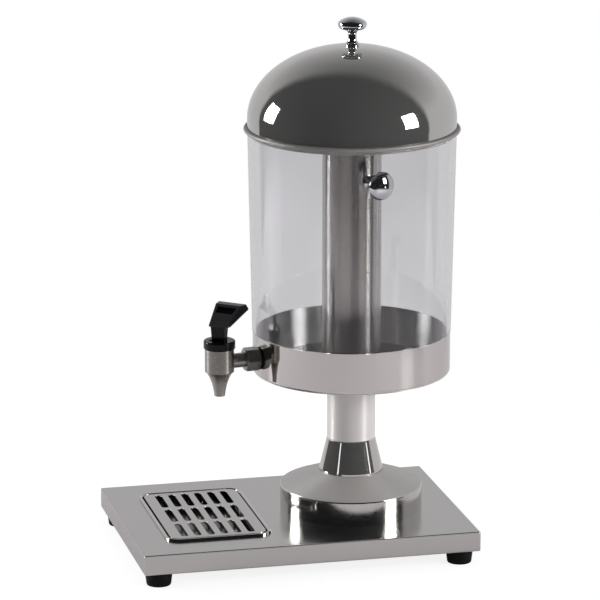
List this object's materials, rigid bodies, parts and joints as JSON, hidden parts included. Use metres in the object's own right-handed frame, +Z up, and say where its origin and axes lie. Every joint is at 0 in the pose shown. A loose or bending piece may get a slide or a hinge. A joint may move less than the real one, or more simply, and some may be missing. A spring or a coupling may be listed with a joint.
{
  "type": "juice dispenser",
  "caption": "Buffet juice dispenser: clear tank with steel dome lid and ice tube on a pedestal, with a lever tap over a drip tray.",
  "frame": {"origin": "on the floor under the centre of the base plate", "axes": "+Z up, -Y towards the tap and the drip tray, +X to the right when facing the tap"},
  "size_m": [0.24, 0.3537, 0.5524],
  "materials": {
    "polished_steel": "mirror polished",
    "chrome": "polished",
    "plain_steel": "plain",
    "clear_plastic": "clear polycarbonate",
    "black_rubber": "matt",
    "pale_silicone": "matt",
    "black_plastic": "satin"
  },
  "bodies": {
    "dispenser": {"base_plate": "polished_steel", "pedestal_drum": "polished_steel", "pedestal_neck": "polished_steel", "tank_cup": "polished_steel", "tap_wall_nut": "chrome", "tap_lock_nut": "chrome", "tap_shank": "chrome", "tap_body": "chrome", "foot_screws": "plain_steel", "foot_nuts": "plain_steel", "neck_plug": "plain_steel", "spreader_plate": "plain_steel", "tie_rod": "plain_steel", "tie_rod_washer": "plain_steel", "tie_rod_nut": "plain_steel", "clamp_plate": "plain_steel", "cap_nut": "plain_steel", "return_spring": "plain_steel", "tank_shell": "clear_plastic", "foot_front_left": "black_rubber", "foot_front_right": "black_rubber", "foot_rear_left": "black_rubber", "foot_rear_right": "black_rubber", "tap_outer_washer": "black_rubber", "tap_inner_washer": "black_rubber", "bonnet_seal": "black_rubber", "floor_seal": "black_rubber", "tap_bonnet": "black_plastic"},
    "drip_tray": {"drip_tray": "polished_steel"},
    "drip_grille": {"drip_grille": "polished_steel", "grille_bars": "polished_steel"},
    "ice_tube": {"ice_tube": "polished_steel", "ice_tube_floor": "polished_steel", "ice_tube_knob": "chrome", "ice_tube_knob_washer": "plain_steel", "ice_tube_knob_screw": "plain_steel"},
    "lid": {"lid_dome": "polished_steel", "lid_ring": "polished_steel", "lid_knob": "chrome", "lid_knob_washer": "plain_steel", "lid_knob_screw": "plain_steel"},
    "plunger": {"tap_plunger": "plain_steel", "seat_plug": "pale_silicone", "lever_pin": "plain_steel"},
    "lever": {"tap_lever": "black_plastic"}
  },
  "joints": [
    {"name": "lid_lift", "type": "slide", "parent": "dispenser", "child": "lid", "axis": [0, 0, 1], "range_m": [0, 0.2]},
    {"name": "ice_tube_lift", "type": "slide", "parent": "dispenser", "child": "ice_tube", "axis": [0, 0, 1], "range_m": [0, 0.07]},
    {"name": "tray_lift", "type": "slide", "parent": "dispenser", "child": "drip_tray", "axis": [0, 0, 1], "range_m": [0, 0.06]},
    {"name": "grille_lift", "type": "slide", "parent": "drip_tray", "child": "drip_grille", "axis": [0, 0, 1], "range_m": [0, 0.06]},
    {"name": "plunger_lift", "type": "slide", "parent": "dispenser", "child": "plunger", "axis": [0, 0, 1], "range_m": [0, 0.0031], "deforming": ["return_spring"]},
    {"name": "lever_pull", "type": "hinge", "parent": "plunger", "child": "lever", "pos_m": [0.02019, -0.07569, 0.22422], "axis": [0.6428, 0.766, 0], "range_deg": [0, 35], "stiffness_Nm_per_rad": 0.4, "springref_deg": -17.19}
  ],
  "couplings": [
    {"joint": "plunger_lift", "follows": "lever_pull", "m_per_rad": 0.005}
  ]
}
